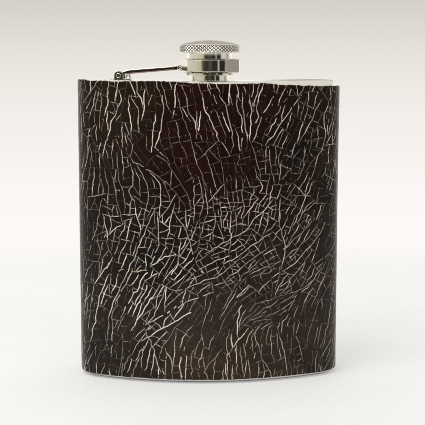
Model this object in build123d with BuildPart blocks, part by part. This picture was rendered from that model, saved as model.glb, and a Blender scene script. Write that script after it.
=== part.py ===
from build123d import *
from math import atan2, cos, degrees, hypot, radians, sin, sqrt
import os

# Hip flask with a kidney-shaped plan, wrapped in leather. Its screw cap is kept on a hinged arm.
# Millimetres, +Z up. z = 0 is the plane the flask stands on, x = y = 0 is the neck's axis,
# and the convex front faces -Y.

# ---- driving dimensions -------------------------------------------------------------------------

# Steel body
BODY_WIDTH = 92.0            # overall, left to right
BODY_THICKNESS = 22.0        # front to back, at the middle
FRONT_RADIUS = 86.8          # convex front
END_RADIUS = 10.0            # rounded left and right ends
SHEET = 0.6                  # wall of the body tube, the shoulder and the base
SHOULDER_Z = 107.3           # top of the shoulder plate
SHOULDER_CUP = 3.0           # height of the pressed shoulder plate
SHOULDER_FILLET = 2.2
BASE_CUP = 2.8               # height of the pressed base plate
BASE_FILLET = 2.0
BASE_RIM = 4.5               # from the body's side in to the edge of the base's recess
BASE_RECESS = 0.8

# Leather wrap
LEATHER_GAP = 0.05           # glue line between the steel and the leather
LEATHER_OUT = 1.2            # from the steel's side to the leather's face
LEATHER_LOW_Z = 1.5
LEATHER_TOP_Z = 106.25       # at the neck's axis
LEATHER_SLOPE = 0.0235       # the hand-cut top edge falls to the right

# Neck
NECK_BORE_R = 4.9
NECK_CORE_R = 5.7
NECK_BOSS_R = 6.95
NECK_BOSS_TOP_Z = 109.0
NECK_TOP_Z = 115.5
NECK_FLANGE_R = 7.2
NECK_FLANGE = 0.6
NECK_CHAMFER = 0.25

# Thread, right-handed
PITCH = 1.4
RIDGE_ROOT = 0.70            # width of a ridge at its root
RIDGE_CREST = 0.40           # width of a ridge at its crest
RIDGE_SINK = 0.1             # how far a ridge's root is sunk into its wall
NECK_CREST_R = 6.3
NECK_THREAD_Z = 112.3        # middle of the neck's ridge where it starts
NECK_THREAD_RISE = 2.5
CAP_CREST_R = 5.85
CAP_THREAD_RISE = 2.0
UNSCREW_TURNS = 2.0

# Cap
SKIRT_R = 7.95
SKIRT_BORE_R = 7.05
SKIRT_LOW_Z = 109.15
HEAD_R = 10.75
HEAD_LOW_Z = 116.95
HEAD_SIDE_TOP_Z = 119.65
HEAD_TOP_Z = 121.35
HEAD_EDGE = 0.35             # chamfer under the head, and the round at its top
CAP_CAVITY_TOP_Z = 118.6
INSERT_LOW_Z = 112.4
INSERT_ROOT_R = 6.45
GASKET = 1.0
GASKET_EDGE = 0.2            # how far the gasket's rim rises clear of the neck
WASHER_R = 9.2
WASHER = 0.75
WASHER_EDGE = 0.15
WASHER_SEAT_R = 7.6

# Collar that the cap turns in: a ring with a pair of flats at its arm end and at its far end
COLLAR_R = 10.8
COLLAR_FLAT_REACH = 10.05    # from the axis to each flat
COLLAR_FLAT_ANGLE = 30       # between the arm's line and each flat's normal
COLLAR_BORE_R = 8.05
COLLAR_LOW_Z = 110.0
COLLAR_HIGH_Z = 114.9
COLLAR_CHAMFER_R = 9.9       # where the conical chamfer starts
COLLAR_CHAMFER_DROP = 0.45

# The arm lies in an upright plane through the neck's axis, turned so that its hinge is midway
# between the shoulder's front and back. Pivots are (distance along that plane, z).
ARM_YAW = 8.4
HINGE = (-32.3, 108.98)
COLLAR_PIVOT = (-10.2, 111.85)

# Hinge bracket and pin
BRACKET_LEFT_X = -34.6
BRACKET_RIGHT_X = -27.9
BRACKET_HALF_WIDTH = 2.2
BRACKET_SHEET = 0.5
BRACKET_CORNER_R = 0.8
EAR_R = 1.6
EAR_INNER_Y = 1.6
WINDOW_LEFT_X = -33.9        # opening under the arm's knuckle
WINDOW_RIGHT_X = -30.5
SADDLE_X = -29.1             # folded rest that the closed arm lies on
SADDLE_R = 0.9
SADDLE_SHEET = 0.4
SADDLE_CENTRE_Z = 108.5
SADDLE_HALF_WIDTH = 1.2
PIN_R = 0.5
PIN_HOLE_R = 0.55
PIN_HEAD_R = 0.85
PIN_HEAD = 0.35
PIN_HEAD_ROUND = 0.21
PIN_HEAD_GAP = 0.05

# Arm
KNUCKLE_R = 1.3
ARM_HALF_WIDTH = 1.5
ARM_THICK_HINGE = 1.7
ARM_THICK_COLLAR = 1.5
ARM_EDGE_R = 0.4
ARM_LONG_EDGE = 15.0         # straight edges longer than this run down the bar
ARM_START_Z = 110.05         # middle of the bar above the hinge
ARM_NOSE_Z = 110.0           # the bar's top is cut down to this above the hinge, so it can fold back
ARM_NOSE_LENGTH = 4.2
TONGUE_HALF_WIDTH = 1.2
TONGUE_FROM = 19.8           # from the hinge to where the bar narrows
EYE_R = 0.8
SLOT_CLEARANCE = 0.1         # around the collar pin, across the slot
SLOT_END_PLAY = 0.05

# Lug and pin on the collar
LUG_R = 0.95
LUG_HALF_WIDTH = 2.5
CLEFT_HALF_WIDTH = 1.3
CLEFT_FLOOR_X = -8.6
CLEFT_TOP_Z = 113.4
COLLAR_PIN_R = 0.35
COLLAR_PIN_PROUD = 0.25      # how far each end stands out of the lug

# ---- derived dimensions -------------------------------------------------------------------------

HALF_THICKNESS = BODY_THICKNESS / 2
END_X = BODY_WIDTH / 2 - END_RADIUS
FRONT_CENTRE_Y = FRONT_RADIUS - HALF_THICKNESS
END_Y = FRONT_CENTRE_Y - sqrt((FRONT_RADIUS - END_RADIUS) ** 2 - END_X ** 2)
# The hollow back's circle touches both end circles and passes through the middle of the back.
BACK_RADIUS = (
    (END_Y - HALF_THICKNESS) ** 2 + END_X ** 2 - END_RADIUS ** 2
) / (2 * (END_RADIUS - HALF_THICKNESS + END_Y))
BACK_CENTRE_Y = HALF_THICKNESS + BACK_RADIUS
SHOULDER_SEAM_Z = SHOULDER_Z - SHOULDER_CUP

LIFT = PITCH * UNSCREW_TURNS
CAP_THREAD_Z = NECK_THREAD_Z + PITCH / 2
GASKET_TOP_Z = NECK_TOP_Z + GASKET
WASHER_TOP_Z = SKIRT_LOW_Z + WASHER
DOME_RISE = HEAD_TOP_Z - HEAD_SIDE_TOP_Z
DOME_RADIUS = (HEAD_R ** 2 + DOME_RISE ** 2) / (2 * DOME_RISE)

PIVOT_REACH = hypot(COLLAR_PIVOT[0] - HINGE[0], COLLAR_PIVOT[1] - HINGE[1])
PIVOT_ANGLE = degrees(atan2(COLLAR_PIVOT[1] - HINGE[1], COLLAR_PIVOT[0] - HINGE[0]))
SWING_X = (cos(radians(ARM_YAW)), -sin(radians(ARM_YAW)), 0)
SWING_PLANE = Plane(
    origin=(0, 0, 0), x_dir=SWING_X, z_dir=(-sin(radians(ARM_YAW)), -cos(radians(ARM_YAW)), 0)
)
PIN_AXIS = Axis((0, 0, 0), SWING_PLANE.z_dir)
LIFTED_REACH = hypot(COLLAR_PIVOT[0] - HINGE[0], COLLAR_PIVOT[1] + LIFT - HINGE[1])


# ---- shared shapes ------------------------------------------------------------------------------

def kidney(grow):
    """The flask's plan as a face: four arcs that meet smoothly, moved outwards by grow."""
    front_span = FRONT_RADIUS - END_RADIUS
    front_touch = (
        END_X * (FRONT_RADIUS + grow) / front_span,
        FRONT_CENTRE_Y + (END_Y - FRONT_CENTRE_Y) * (FRONT_RADIUS + grow) / front_span,
    )
    back_span = BACK_RADIUS + END_RADIUS
    back_touch = (
        END_X * (BACK_RADIUS - grow) / back_span,
        BACK_CENTRE_Y + (END_Y - BACK_CENTRE_Y) * (BACK_RADIUS - grow) / back_span,
    )
    end_tip = (END_X + END_RADIUS + grow, END_Y)
    with BuildSketch() as plan:
        with BuildLine():
            ThreePointArc(
                (-front_touch[0], front_touch[1]), (0, -HALF_THICKNESS - grow), front_touch
            )
            ThreePointArc(front_touch, end_tip, back_touch)
            ThreePointArc(
                back_touch, (0, HALF_THICKNESS + grow), (-back_touch[0], back_touch[1])
            )
            ThreePointArc(
                (-back_touch[0], back_touch[1]),
                (-end_tip[0], end_tip[1]),
                (-front_touch[0], front_touch[1]),
            )
        make_face()
    return plan.sketch


def kidney_block(grow, low, high):
    """A straight kidney block between two heights."""
    with BuildPart() as block:
        with BuildSketch(Plane.XY.offset(low)):
            add(kidney(grow))
        extrude(amount=high - low)
    return block.part


def pressed_cup(low, high, radius, rounded_end):
    """A pressed sheet cup: rounded_end is 0 to round its lower end, or -1 for its upper end."""
    closed_low = rounded_end == 0
    with BuildPart() as cavity:
        add(kidney_block(-SHEET, low + SHEET * closed_low, high - SHEET * (not closed_low)))
        fillet(cavity.edges().group_by(Axis.Z)[rounded_end], radius=radius - SHEET)
    with BuildPart() as cup:
        add(kidney_block(0, low, high))
        fillet(cup.edges().group_by(Axis.Z)[rounded_end], radius=radius)
        add(cavity.part, mode=Mode.SUBTRACT)
    return cup.part


def thread_ridge(wall_r, crest_r, start_z, rise):
    """One helical ridge that stands on a wall of radius wall_r and reaches crest_r."""
    sunk_r = wall_r - RIDGE_SINK if crest_r > wall_r else wall_r + RIDGE_SINK
    with BuildPart() as ridge:
        with BuildLine() as path:
            Helix(pitch=PITCH, height=rise, radius=wall_r, center=(0, 0, start_z))
        with BuildSketch(Plane.XZ):
            Polygon(
                (sunk_r, start_z - RIDGE_ROOT / 2),
                (crest_r, start_z - RIDGE_CREST / 2),
                (crest_r, start_z + RIDGE_CREST / 2),
                (sunk_r, start_z + RIDGE_ROOT / 2),
                align=None,
            )
        sweep(path=path.line, is_frenet=True)
    return ridge.part


def level(z):
    """A horizontal plane whose x axis runs along the arm."""
    return Plane(origin=(0, 0, z), x_dir=SWING_X, z_dir=(0, 0, 1))


def turned(outline):
    """A solid of revolution about the neck's axis from (radius, z) points."""
    with BuildPart() as solid:
        with BuildSketch(Plane.XZ):
            Polygon(*outline, align=None)
        revolve(axis=Axis.Z)
    return solid.part


def on_arm_line(reach):
    """The (x, z) point on the line from the hinge through the collar pin, at rest."""
    return (
        HINGE[0] + reach * cos(radians(PIVOT_ANGLE)),
        HINGE[1] + reach * sin(radians(PIVOT_ANGLE)),
    )


# ---- flask --------------------------------------------------------------------------------------

with BuildPart() as body_shell:
    with BuildSketch(Plane.XY.offset(BASE_CUP)):
        add(kidney(0))
        add(kidney(-SHEET), mode=Mode.SUBTRACT)
    extrude(amount=SHOULDER_SEAM_Z - BASE_CUP)

with BuildPart() as shoulder_plate:
    add(pressed_cup(SHOULDER_SEAM_Z, SHOULDER_Z, SHOULDER_FILLET, -1))
    with Locations((0, 0, SHOULDER_Z)):
        Hole(radius=NECK_CORE_R, depth=2 * SHEET)

with BuildPart() as base_plate:
    add(pressed_cup(0, BASE_CUP, BASE_FILLET, 0))
    add(kidney_block(SHEET - BASE_RIM, SHEET, SHEET + BASE_RECESS))
    add(kidney_block(-BASE_RIM, 0, BASE_RECESS), mode=Mode.SUBTRACT)

with BuildPart() as neck:
    add(turned([
        (NECK_BORE_R, SHOULDER_Z - SHEET - NECK_FLANGE),
        (NECK_FLANGE_R, SHOULDER_Z - SHEET - NECK_FLANGE),
        (NECK_FLANGE_R, SHOULDER_Z - SHEET),
        (NECK_CORE_R, SHOULDER_Z - SHEET),
        (NECK_CORE_R, SHOULDER_Z),
        (NECK_BOSS_R, SHOULDER_Z),
        (NECK_BOSS_R, NECK_BOSS_TOP_Z),
        (NECK_CORE_R, NECK_BOSS_TOP_Z),
        (NECK_CORE_R, NECK_TOP_Z - NECK_CHAMFER),
        (NECK_CORE_R - NECK_CHAMFER, NECK_TOP_Z),
        (NECK_BORE_R, NECK_TOP_Z),
    ]))
    add(thread_ridge(NECK_CORE_R, NECK_CREST_R, NECK_THREAD_Z, NECK_THREAD_RISE))

# The wrap is cut square at the bottom and aslant at the top.
with BuildPart() as leather_wrap:
    with BuildSketch(Plane.XY.offset(LEATHER_LOW_Z)):
        add(kidney(LEATHER_OUT))
        add(kidney(LEATHER_GAP), mode=Mode.SUBTRACT)
    extrude(amount=SHOULDER_Z)
    split(
        bisect_by=Plane(origin=(0, 0, LEATHER_TOP_Z), z_dir=(LEATHER_SLOPE, 0, 1)),
        keep=Keep.BOTTOM,
    )

# ---- hinge on the shoulder ----------------------------------------------------------------------

# One folded strip: a foot on the shoulder, two ears around the arm's knuckle, and the arm's rest.
BRACKET_TOP_Z = SHOULDER_Z + BRACKET_SHEET
with BuildPart() as hinge_bracket:
    with BuildSketch(level(SHOULDER_Z)) as foot:
        with Locations(((BRACKET_LEFT_X + BRACKET_RIGHT_X) / 2, 0)):
            Rectangle(BRACKET_RIGHT_X - BRACKET_LEFT_X, 2 * BRACKET_HALF_WIDTH)
        fillet(foot.vertices(), radius=BRACKET_CORNER_R)
        with Locations(((WINDOW_LEFT_X + WINDOW_RIGHT_X) / 2, 0)):
            Rectangle(WINDOW_RIGHT_X - WINDOW_LEFT_X, 2 * EAR_INNER_Y, mode=Mode.SUBTRACT)
    extrude(amount=BRACKET_SHEET)
    for ear_side in (-1, 1):
        with BuildSketch(SWING_PLANE.offset(ear_side * EAR_INNER_Y)):
            with Locations(HINGE):
                Circle(EAR_R)
                Rectangle(
                    2 * EAR_R, HINGE[1] - SHOULDER_Z, align=(Align.CENTER, Align.MAX)
                )
                Circle(PIN_HOLE_R, mode=Mode.SUBTRACT)
        extrude(amount=ear_side * (BRACKET_HALF_WIDTH - EAR_INNER_Y))
    with BuildSketch(SWING_PLANE):
        with Locations((SADDLE_X, SADDLE_CENTRE_Z)):
            Circle(SADDLE_R)
            Rectangle(
                2 * SADDLE_R, SADDLE_CENTRE_Z - SHOULDER_Z, align=(Align.CENTER, Align.MAX)
            )
            Circle(SADDLE_R - SADDLE_SHEET, mode=Mode.SUBTRACT)
            Rectangle(
                2 * (SADDLE_R - SADDLE_SHEET),
                SADDLE_CENTRE_Z - BRACKET_TOP_Z,
                align=(Align.CENTER, Align.MAX),
                mode=Mode.SUBTRACT,
            )
    extrude(amount=SADDLE_HALF_WIDTH, both=True)

PIN_HEAD_Y = BRACKET_HALF_WIDTH + PIN_HEAD_GAP
with BuildPart() as hinge_pin:
    with BuildSketch(SWING_PLANE):
        with Locations(HINGE):
            Circle(PIN_R)
    extrude(amount=PIN_HEAD_Y + PIN_HEAD / 2, both=True)
    for head_side in (-1, 1):
        with BuildSketch(SWING_PLANE.offset(head_side * PIN_HEAD_Y)):
            with Locations(HINGE):
                Circle(PIN_HEAD_R)
        extrude(amount=head_side * PIN_HEAD)
    fillet(hinge_pin.edges().group_by(PIN_AXIS)[0], radius=PIN_HEAD_ROUND)
    fillet(hinge_pin.edges().group_by(PIN_AXIS)[-1], radius=PIN_HEAD_ROUND)

# ---- arm ----------------------------------------------------------------------------------------

SLOT_LENGTH = LIFTED_REACH - PIVOT_REACH + 2 * SLOT_END_PLAY
EYE_NEAR = on_arm_line(PIVOT_REACH - SLOT_END_PLAY)
EYE_FAR = on_arm_line(LIFTED_REACH + SLOT_END_PLAY)
NARROW = on_arm_line(TONGUE_FROM)
ARM_TOP_SLOPE = (EYE_NEAR[1] + ARM_THICK_COLLAR / 2 - ARM_START_Z - ARM_THICK_HINGE / 2) / (
    EYE_NEAR[0] - HINGE[0]
)
ARM_NOSE = (
    HINGE[0] + ARM_NOSE_LENGTH, ARM_START_Z + ARM_THICK_HINGE / 2 + ARM_NOSE_LENGTH * ARM_TOP_SLOPE
)
with BuildPart() as retaining_arm:
    # Side view of the whole arm: knuckle, tapering bar, and the eye around the slot.
    with BuildSketch(SWING_PLANE) as side:
        with Locations(HINGE):
            Circle(KNUCKLE_R)
        Polygon(
            (HINGE[0], ARM_START_Z - ARM_THICK_HINGE / 2),
            (EYE_NEAR[0], EYE_NEAR[1] - ARM_THICK_COLLAR / 2),
            (EYE_NEAR[0], EYE_NEAR[1] + ARM_THICK_COLLAR / 2),
            ARM_NOSE,
            (HINGE[0], ARM_NOSE_Z),
            align=None,
        )
        with Locations(
            Location(((EYE_NEAR[0] + EYE_FAR[0]) / 2, (EYE_NEAR[1] + EYE_FAR[1]) / 2), PIVOT_ANGLE)
        ):
            SlotCenterToCenter(SLOT_LENGTH, 2 * EYE_R)
            SlotCenterToCenter(
                SLOT_LENGTH, 2 * (COLLAR_PIN_R + SLOT_CLEARANCE), mode=Mode.SUBTRACT
            )
        with Locations(HINGE):
            Circle(PIN_HOLE_R, mode=Mode.SUBTRACT)
    extrude(amount=ARM_HALF_WIDTH, both=True)
    # The bar's long edges are rolled over.
    straight_edges = retaining_arm.edges().filter_by(GeomType.LINE)
    fillet(straight_edges.filter_by(lambda edge: edge.length > ARM_LONG_EDGE), radius=ARM_EDGE_R)
    # Narrow the end to a tongue that fits the collar's cleft.
    with BuildSketch(level(HINGE[1])):
        for side_sign in (-1, 1):
            with Locations((NARROW[0], side_sign * (TONGUE_HALF_WIDTH + ARM_HALF_WIDTH))):
                Rectangle(
                    COLLAR_R, 2 * ARM_HALF_WIDTH, align=(Align.MIN, Align.CENTER)
                )
    extrude(amount=COLLAR_R, mode=Mode.SUBTRACT)

# ---- collar -------------------------------------------------------------------------------------

with BuildPart() as collar_ring:
    # The four flats make a long lozenge, which is then trimmed to the turned, bored ring.
    with BuildSketch(level(COLLAR_LOW_Z)):
        Polygon(
            (COLLAR_FLAT_REACH / cos(radians(COLLAR_FLAT_ANGLE)), 0),
            (0, COLLAR_FLAT_REACH / sin(radians(COLLAR_FLAT_ANGLE))),
            (-COLLAR_FLAT_REACH / cos(radians(COLLAR_FLAT_ANGLE)), 0),
            (0, -COLLAR_FLAT_REACH / sin(radians(COLLAR_FLAT_ANGLE))),
            align=None,
        )
    extrude(amount=COLLAR_HIGH_Z - COLLAR_LOW_Z)
    add(turned([
        (COLLAR_BORE_R, COLLAR_LOW_Z),
        (COLLAR_CHAMFER_R, COLLAR_LOW_Z),
        (COLLAR_R, COLLAR_LOW_Z + COLLAR_CHAMFER_DROP),
        (COLLAR_R, COLLAR_HIGH_Z - COLLAR_CHAMFER_DROP),
        (COLLAR_CHAMFER_R, COLLAR_HIGH_Z),
        (COLLAR_BORE_R, COLLAR_HIGH_Z),
    ]), mode=Mode.INTERSECT)
    # The lug is a round-nosed block on the ring's left side, split by the arm's cleft.
    with BuildSketch(SWING_PLANE):
        with Locations(COLLAR_PIVOT):
            Circle(LUG_R)
            Rectangle(
                CLEFT_FLOOR_X - COLLAR_PIVOT[0], 2 * LUG_R, align=(Align.MIN, Align.CENTER)
            )
    extrude(amount=LUG_HALF_WIDTH, both=True)
    with BuildSketch(SWING_PLANE):
        with Locations((CLEFT_FLOOR_X, COLLAR_LOW_Z)):
            Rectangle(
                COLLAR_R, CLEFT_TOP_Z - COLLAR_LOW_Z, align=(Align.MAX, Align.MIN)
            )
    extrude(amount=CLEFT_HALF_WIDTH, both=True, mode=Mode.SUBTRACT)
    with BuildSketch(SWING_PLANE):
        with Locations(COLLAR_PIVOT):
            Circle(COLLAR_PIN_R)
    extrude(amount=COLLAR_R, both=True, mode=Mode.SUBTRACT)

with BuildPart() as collar_pin:
    with BuildSketch(SWING_PLANE):
        with Locations(COLLAR_PIVOT):
            Circle(COLLAR_PIN_R)
    extrude(amount=LUG_HALF_WIDTH + COLLAR_PIN_PROUD, both=True)

# ---- cap ----------------------------------------------------------------------------------------

with BuildPart() as cap_head:
    with BuildSketch(Plane.XZ):
        with BuildLine():
            Polyline(
                (0, HEAD_TOP_Z),
                (0, CAP_CAVITY_TOP_Z),
                (SKIRT_BORE_R, CAP_CAVITY_TOP_Z),
                (SKIRT_BORE_R, SKIRT_LOW_Z),
                (WASHER_SEAT_R, SKIRT_LOW_Z),
                (WASHER_SEAT_R, WASHER_TOP_Z),
                (SKIRT_R, WASHER_TOP_Z),
                (SKIRT_R, HEAD_LOW_Z),
                (HEAD_R - HEAD_EDGE, HEAD_LOW_Z),
                (HEAD_R, HEAD_LOW_Z + HEAD_EDGE),
                (HEAD_R, HEAD_SIDE_TOP_Z),
            )
            ThreePointArc(
                (HEAD_R, HEAD_SIDE_TOP_Z),
                (HEAD_R / 2, HEAD_TOP_Z - DOME_RADIUS + sqrt(DOME_RADIUS ** 2 - (HEAD_R / 2) ** 2)),
                (0, HEAD_TOP_Z),
            )
        make_face()
    revolve(axis=Axis.Z)
    rim = cap_head.edges().filter_by_position(
        Axis.Z, HEAD_SIDE_TOP_Z - HEAD_EDGE / 2, HEAD_SIDE_TOP_Z + HEAD_EDGE / 2
    )
    fillet(rim.filter_by(GeomType.CIRCLE), radius=HEAD_EDGE)

with BuildPart() as cap_thread_insert:
    add(turned([
        (0, CAP_CAVITY_TOP_Z),
        (SKIRT_BORE_R, CAP_CAVITY_TOP_Z),
        (SKIRT_BORE_R, INSERT_LOW_Z),
        (INSERT_ROOT_R, INSERT_LOW_Z),
        (INSERT_ROOT_R, GASKET_TOP_Z),
        (0, GASKET_TOP_Z),
    ]))
    add(thread_ridge(INSERT_ROOT_R, CAP_CREST_R, CAP_THREAD_Z, CAP_THREAD_RISE))

with BuildPart() as cap_gasket:
    add(turned([
        (0, NECK_TOP_Z),
        (CAP_CREST_R, NECK_TOP_Z),
        (INSERT_ROOT_R, NECK_TOP_Z + GASKET_EDGE),
        (INSERT_ROOT_R, GASKET_TOP_Z),
        (0, GASKET_TOP_Z),
    ]))

with BuildPart() as cap_retaining_washer:
    add(turned([
        (WASHER_SEAT_R, SKIRT_LOW_Z),
        (WASHER_R - WASHER_EDGE, SKIRT_LOW_Z),
        (WASHER_R, SKIRT_LOW_Z + WASHER_EDGE),
        (WASHER_R, WASHER_TOP_Z - WASHER_EDGE),
        (WASHER_R - WASHER_EDGE, WASHER_TOP_Z),
        (WASHER_SEAT_R, WASHER_TOP_Z),
    ]))

# ---- write the pieces ---------------------------------------------------------------------------

PIECES = {
    "body_shell": body_shell,
    "shoulder_plate": shoulder_plate,
    "base_plate": base_plate,
    "neck": neck,
    "leather_wrap": leather_wrap,
    "hinge_bracket": hinge_bracket,
    "hinge_pin": hinge_pin,
    "retaining_arm": retaining_arm,
    "collar_ring": collar_ring,
    "collar_pin": collar_pin,
    "cap_head": cap_head,
    "cap_thread_insert": cap_thread_insert,
    "cap_gasket": cap_gasket,
    "cap_retaining_washer": cap_retaining_washer,
}

os.makedirs("parts", exist_ok=True)
for name, piece in PIECES.items():
    piece.part.label = name
    export_step(piece.part, f"parts/{name}.step")
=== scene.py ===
"""Hip flask in crackled leather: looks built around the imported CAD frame. Metres, +Z up, front faces -Y."""

import math

import bpy
import numpy as np
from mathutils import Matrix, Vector


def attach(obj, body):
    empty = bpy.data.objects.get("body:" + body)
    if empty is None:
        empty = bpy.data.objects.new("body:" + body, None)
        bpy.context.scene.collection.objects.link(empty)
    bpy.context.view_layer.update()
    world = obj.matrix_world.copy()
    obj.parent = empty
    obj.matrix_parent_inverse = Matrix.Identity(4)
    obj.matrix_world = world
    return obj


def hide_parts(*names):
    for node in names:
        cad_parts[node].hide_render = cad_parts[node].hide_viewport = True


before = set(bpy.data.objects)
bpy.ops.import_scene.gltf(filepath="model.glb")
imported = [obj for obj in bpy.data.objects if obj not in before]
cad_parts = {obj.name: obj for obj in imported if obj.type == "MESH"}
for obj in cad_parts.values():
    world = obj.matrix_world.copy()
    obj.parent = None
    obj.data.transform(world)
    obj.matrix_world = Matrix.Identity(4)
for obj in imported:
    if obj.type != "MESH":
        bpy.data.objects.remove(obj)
bpy.context.view_layer.update()

MM = 0.001
rng = np.random.default_rng(7)

# ---- dimensions shared with the CAD, in millimetres ---------------------------------------------

FRONT_RADIUS = 86.8
END_RADIUS = 10.0
END_X = 36.0
HALF_THICKNESS = 11.0
LEATHER_OUT = 1.2
LEATHER_GAP = 0.08
LEATHER_LOW_Z = 1.5
LEATHER_TOP_Z = 106.25
LEATHER_SLOPE = 0.0235

HEAD_R = 10.75
HEAD_LOW_Z = 116.95
HEAD_SIDE_TOP_Z = 119.65
HEAD_TOP_Z = 121.35
HEAD_EDGE = 0.35
SKIRT_R = 7.95
SKIRT_BORE_R = 7.05
SKIRT_LOW_Z = 109.15
WASHER_SEAT_R = 7.6
WASHER_TOP_Z = 109.9
CAP_CAVITY_TOP_Z = 118.6

FRONT_CENTRE_Y = FRONT_RADIUS - HALF_THICKNESS
END_Y = FRONT_CENTRE_Y - math.sqrt((FRONT_RADIUS - END_RADIUS) ** 2 - END_X ** 2)
BACK_RADIUS = ((END_Y - HALF_THICKNESS) ** 2 + END_X ** 2 - END_RADIUS ** 2) / (
    2 * (END_RADIUS - HALF_THICKNESS + END_Y)
)
BACK_CENTRE_Y = HALF_THICKNESS + BACK_RADIUS
FRONT_ANGLE = math.asin(END_X / (FRONT_RADIUS - END_RADIUS))
BACK_ANGLE = math.asin(END_X / (BACK_RADIUS + END_RADIUS))

# Arc lengths of the leather's outer face, from the middle of the front round to the back seam.
FRONT_HALF = (FRONT_RADIUS + LEATHER_OUT) * FRONT_ANGLE
END_SWEEP = math.pi - FRONT_ANGLE + BACK_ANGLE
END_HALF = FRONT_HALF + (END_RADIUS + LEATHER_OUT) * END_SWEEP
SEAM_U = END_HALF + (BACK_RADIUS - LEATHER_OUT) * BACK_ANGLE


# ---- small helpers ------------------------------------------------------------------------------

def make_object(name, verts, faces, smooth=True):
    """A mesh object from vertex positions in millimetres and a list or array of faces."""
    mesh = bpy.data.meshes.new(name)
    mesh.from_pydata([], [], [])
    verts = np.asarray(verts, np.float32) * MM
    faces = np.asarray(faces, np.int32)
    mesh.vertices.add(len(verts))
    mesh.vertices.foreach_set("co", verts.ravel())
    mesh.loops.add(faces.size)
    mesh.loops.foreach_set("vertex_index", faces.ravel())
    mesh.polygons.add(len(faces))
    mesh.polygons.foreach_set("loop_start", np.arange(0, faces.size, faces.shape[1], dtype=np.int32))
    mesh.polygons.foreach_set("use_smooth", np.full(len(faces), smooth))
    mesh.update(calc_edges=True)
    obj = bpy.data.objects.new(name, mesh)
    bpy.context.scene.collection.objects.link(obj)
    return obj


def add_value(obj, name, values):
    layer = obj.data.attributes.new(name, "FLOAT", "POINT")
    layer.data.foreach_set("value", np.asarray(values, np.float32).ravel())


def ring_faces(rows, columns):
    """Quads between successive rings of a closed tube; the last row joins back to the first."""
    row = np.arange(rows)[:, None]
    column = np.arange(columns)[None, :]
    next_row = (row + 1) % rows
    next_column = (column + 1) % columns
    corners = (
        row * columns + column,
        row * columns + next_column,
        next_row * columns + next_column,
        next_row * columns + column,
    )
    return np.stack([np.broadcast_to(c, (rows, columns)).ravel() for c in corners], axis=1)


def smoothstep(low, high, value):
    t = np.clip((value - low) / (high - low), 0, 1)
    return t * t * (3 - 2 * t)


def value_noise(u, z, size, seed):
    """Smooth noise from -1 to 1 over the leather, periodic round the flask."""
    cells_u = max(3, int(round(2 * SEAM_U / size)))
    cells_z = int(130 / size) + 3
    lattice = np.random.default_rng(seed).uniform(-1, 1, (cells_z, cells_u))
    fu = (u / (2 * SEAM_U) + 0.5) * cells_u
    fz = (z + 10) / size
    iu, iz = np.floor(fu).astype(int), np.floor(fz).astype(int)
    tu, tz = fu - iu, fz - iz
    tu, tz = tu * tu * (3 - 2 * tu), tz * tz * (3 - 2 * tz)
    iz = np.clip(iz, 0, cells_z - 2)
    a = lattice[iz, iu % cells_u] * (1 - tu) + lattice[iz, (iu + 1) % cells_u] * tu
    b = lattice[iz + 1, iu % cells_u] * (1 - tu) + lattice[iz + 1, (iu + 1) % cells_u] * tu
    return a * (1 - tz) + b * tz


# ---- leather: outline ---------------------------------------------------------------------------

def outline(u):
    """Position and outward normal (x, y, nx, ny) on the leather's face, u mm from mid-front."""
    a = np.abs(u)
    side = np.sign(u)
    front_r = FRONT_RADIUS + LEATHER_OUT
    end_r = END_RADIUS + LEATHER_OUT
    back_r = BACK_RADIUS - LEATHER_OUT
    t = a / front_r
    x, y, nx, ny = front_r * np.sin(t), FRONT_CENTRE_Y - front_r * np.cos(t), np.sin(t), -np.cos(t)
    t = FRONT_ANGLE - math.pi / 2 + (a - FRONT_HALF) / end_r
    on_end = a > FRONT_HALF
    x = np.where(on_end, END_X + end_r * np.cos(t), x)
    y = np.where(on_end, END_Y + end_r * np.sin(t), y)
    nx, ny = np.where(on_end, np.cos(t), nx), np.where(on_end, np.sin(t), ny)
    t = BACK_ANGLE - (a - END_HALF) / back_r
    on_back = a > END_HALF
    x = np.where(on_back, back_r * np.sin(t), x)
    y = np.where(on_back, BACK_CENTRE_Y - back_r * np.cos(t), y)
    nx, ny = np.where(on_back, -np.sin(t), nx), np.where(on_back, np.cos(t), ny)
    return side * x, y, side * nx, ny


# ---- leather: how the cracks run ----------------------------------------------------------------

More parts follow.
